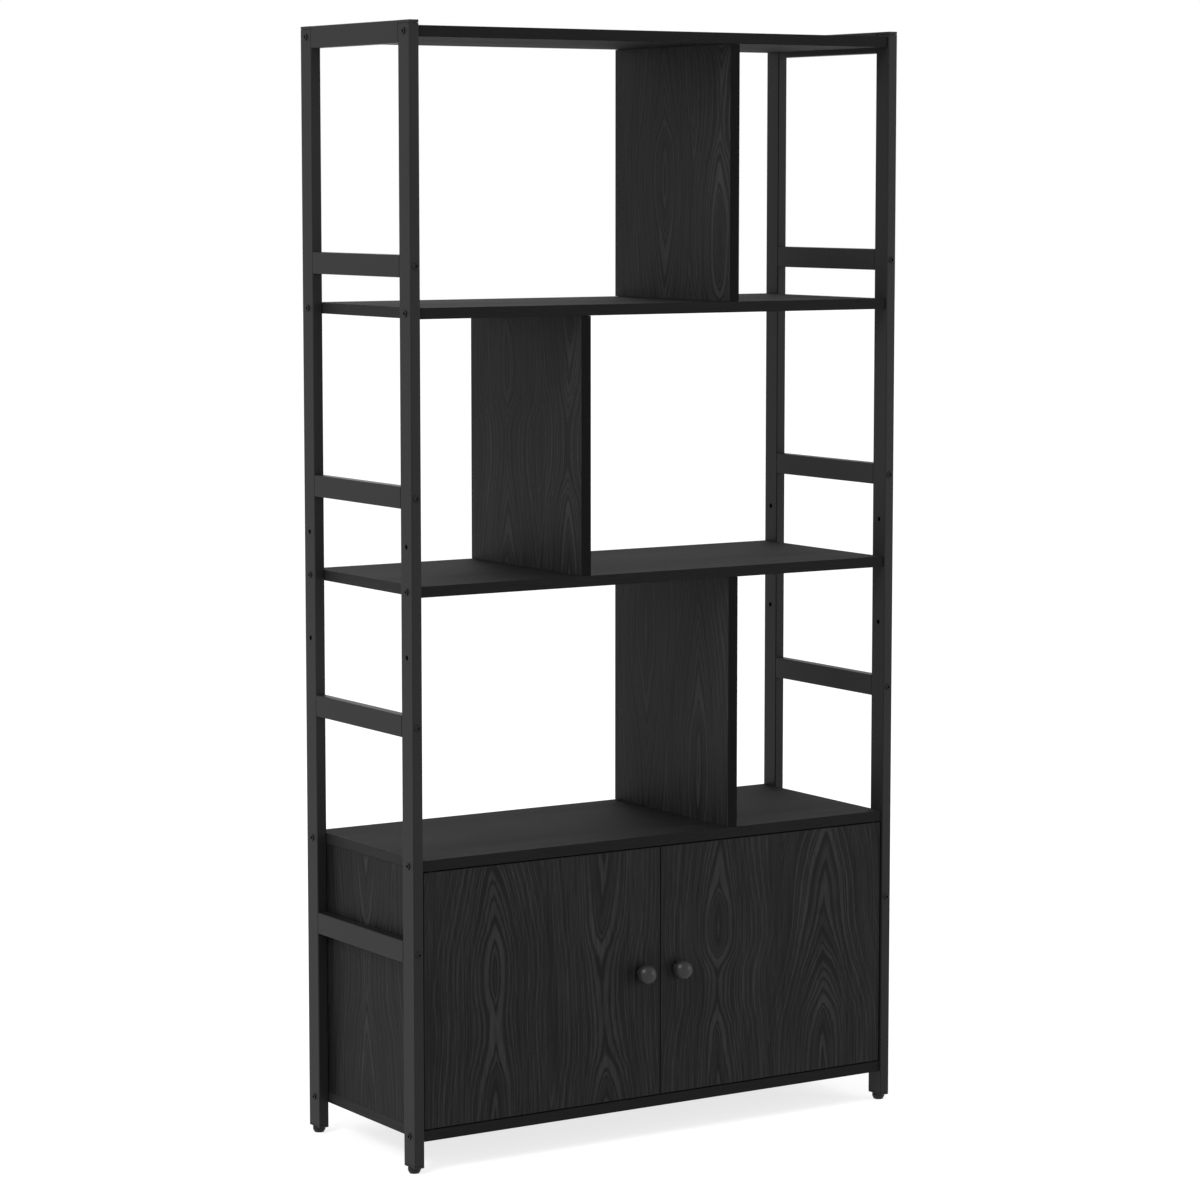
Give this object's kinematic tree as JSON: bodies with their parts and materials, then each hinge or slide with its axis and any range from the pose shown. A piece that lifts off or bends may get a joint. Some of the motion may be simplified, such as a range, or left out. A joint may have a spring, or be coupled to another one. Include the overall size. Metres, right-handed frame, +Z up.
{
  "type": "bookcase with adjustable shelves",
  "caption": "Tall open bookcase: slim black steel ladder frames carry black oak panels with offset dividers, over a low cabinet with hinged doors and round knobs.",
  "frame": {"origin": "on the floor, under the middle of the bookcase's outer box", "axes": "+Z up, +X to the right seen from the front, +Y to the back; the doors and knobs face -Y"},
  "size_m": [0.803, 0.3244, 1.55],
  "materials": {
    "frame_steel": "satin black powder coat",
    "black_oak": "matt black with open oak grain",
    "black_board": "matt black thin board",
    "black_plastic": "matt moulded",
    "black_fastener": "black zinc",
    "knob_black": "satin black",
    "bright_steel": "plain rolled steel"
  },
  "bodies": {
    "frame": {"left_front_post": "frame_steel", "left_rear_post": "frame_steel", "right_front_post": "frame_steel", "right_rear_post": "frame_steel", "left_side_rail_1": "frame_steel", "left_side_rail_2": "frame_steel", "left_side_rail_3": "frame_steel", "left_side_rail_4": "frame_steel", "left_side_rail_5": "frame_steel", "right_side_rail_1": "frame_steel", "right_side_rail_2": "frame_steel", "right_side_rail_3": "frame_steel", "right_side_rail_4": "frame_steel", "right_side_rail_5": "frame_steel", "left_front_post_cap": "black_plastic", "left_rear_post_cap": "black_plastic", "right_front_post_cap": "black_plastic", "right_rear_post_cap": "black_plastic", "left_front_foot_insert": "black_plastic", "left_rear_foot_insert": "black_plastic", "right_front_foot_insert": "black_plastic", "right_rear_foot_insert": "black_plastic", "top_shelf": "black_oak", "upper_shelf": "black_oak", "middle_shelf": "black_oak", "cabinet_top": "black_oak", "base_panel": "black_oak", "top_divider": "black_oak", "upper_divider": "black_oak", "middle_divider": "black_oak", "left_cabinet_side": "black_oak", "right_cabinet_side": "black_oak", "cabinet_back": "black_board", "magnetic_catch": "black_plastic", "left_door_upper_pin": "black_fastener", "left_door_lower_pin": "black_fastener", "right_door_upper_pin": "black_fastener", "right_door_lower_pin": "black_fastener", "left_front_middle_shelf_bolt": "black_fastener", "left_front_rail_5_bolt": "black_fastener", "left_rear_middle_shelf_bolt": "black_fastener", "left_rear_rail_5_bolt": "black_fastener", "right_front_middle_shelf_bolt": "black_fastener", "right_front_rail_5_bolt": "black_fastener", "right_rear_middle_shelf_bolt": "black_fastener", "right_rear_rail_5_bolt": "black_fastener"},
    "left_door": {"left_door": "black_oak", "left_knob": "knob_black", "left_strike_plate": "bright_steel", "left_door_upper_bush": "black_plastic", "left_door_lower_bush": "black_plastic"},
    "right_door": {"right_door": "black_oak", "right_knob": "knob_black", "right_strike_plate": "bright_steel", "right_door_upper_bush": "black_plastic", "right_door_lower_bush": "black_plastic"},
    "left_front_foot": {"left_front_foot": "black_plastic"},
    "left_rear_foot": {"left_rear_foot": "black_plastic"},
    "right_front_foot": {"right_front_foot": "black_plastic"},
    "right_rear_foot": {"right_rear_foot": "black_plastic"}
  },
  "joints": [
    {"name": "left_door_hinge", "type": "hinge", "parent": "frame", "child": "left_door", "pos_m": [-0.37038, -0.13125, 0.237], "axis": [0, 0, -1], "range_deg": [0, 115]},
    {"name": "right_door_hinge", "type": "hinge", "parent": "frame", "child": "right_door", "pos_m": [0.37038, -0.13125, 0.237], "axis": [0, 0, 1], "range_deg": [0, 115]},
    {"name": "left_front_foot_screw", "type": "slide", "parent": "frame", "child": "left_front_foot", "axis": [0, 0, -1], "range_m": [0, 0.01]},
    {"name": "left_rear_foot_screw", "type": "slide", "parent": "frame", "child": "left_rear_foot", "axis": [0, 0, -1], "range_m": [0, 0.01]},
    {"name": "right_front_foot_screw", "type": "slide", "parent": "frame", "child": "right_front_foot", "axis": [0, 0, -1], "range_m": [0, 0.01]},
    {"name": "right_rear_foot_screw", "type": "slide", "parent": "frame", "child": "right_rear_foot", "axis": [0, 0, -1], "range_m": [0, 0.01]}
  ]
}
